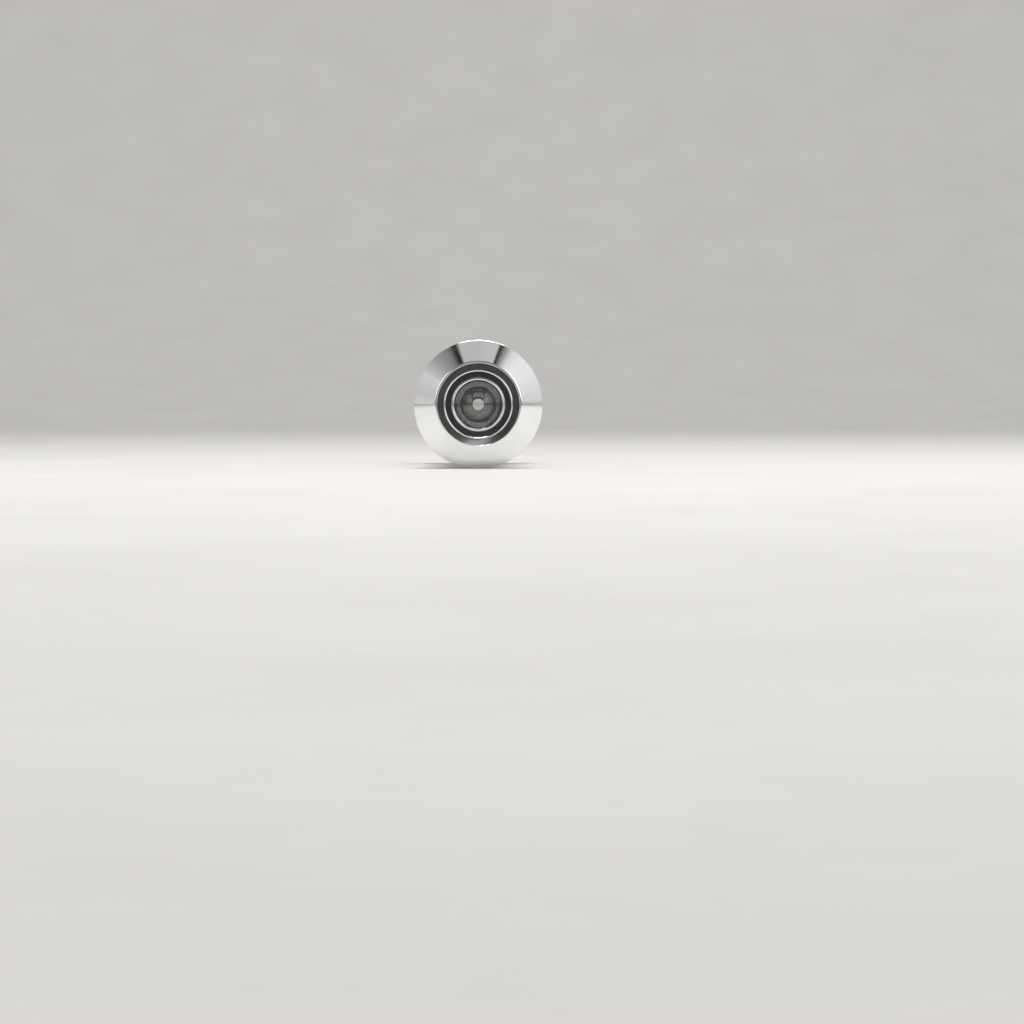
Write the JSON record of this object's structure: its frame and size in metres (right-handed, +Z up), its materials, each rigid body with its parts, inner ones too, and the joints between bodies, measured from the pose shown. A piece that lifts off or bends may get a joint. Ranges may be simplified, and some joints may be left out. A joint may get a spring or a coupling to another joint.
{
  "type": "door viewer",
  "caption": "Wide-angle door viewer: cone-bevelled flange with a domed lens, threaded barrel, and a round inner housing with a swinging privacy cover.",
  "frame": {"origin": "where the optical axis crosses the plane of the door's outer face", "axes": "+Y along the barrel, from the outside into the room; +Z up; the cover's pivot is at +Z and the open cover at +X"},
  "size_m": [0.026, 0.0555, 0.026],
  "materials": {
    "chrome": "polished",
    "steel": "satin",
    "brass": "turned",
    "black_anodised": "matt black anodised",
    "rubber": "matt",
    "nylon": "matt",
    "felt": "felt",
    "glass": "polished, coated"
  },
  "bodies": {
    "front": {"front_barrel": "chrome", "front_gasket": "rubber", "front_bezel": "chrome", "glare_shield": "black_anodised", "lens_retaining_ring": "chrome", "objective_lens": "glass", "lens_seal": "rubber", "spacer_ring_front": "black_anodised", "second_lens": "glass", "spacer_ring_rear": "black_anodised", "third_lens": "glass"},
    "housing": {"rear_gasket": "rubber", "slip_washer": "nylon", "cover_housing": "chrome", "pivot_rivet": "steel", "pivot_bush": "brass", "wave_washer": "steel", "stop_pin": "steel"},
    "rear_barrel": {"rear_barrel": "chrome", "field_stop": "black_anodised", "eye_lens": "glass", "eye_lens_ring": "black_anodised"},
    "cover": {"privacy_cover": "chrome", "cover_pad": "felt", "cover_knob": "chrome"}
  },
  "joints": [
    {"name": "housing_slide", "type": "slide", "parent": "front", "child": "housing", "axis": [0, 1, 0], "range_m": [-0.0065, 0.0096]},
    {"name": "barrel_turn", "type": "hinge", "parent": "housing", "child": "rear_barrel", "pos_m": [0, 0.04445, 0], "axis": [0, 1, 0], "range_deg": [-2322, 3438]},
    {"name": "cover_swing", "type": "hinge", "parent": "housing", "child": "cover", "pos_m": [0, 0.04885, 0.0102], "axis": [0, 1, 0], "range_deg": [0, 46.1]}
  ],
  "couplings": [
    {"joint": "housing_slide", "follows": "barrel_turn", "m_per_rad": 0.00015915}
  ]
}
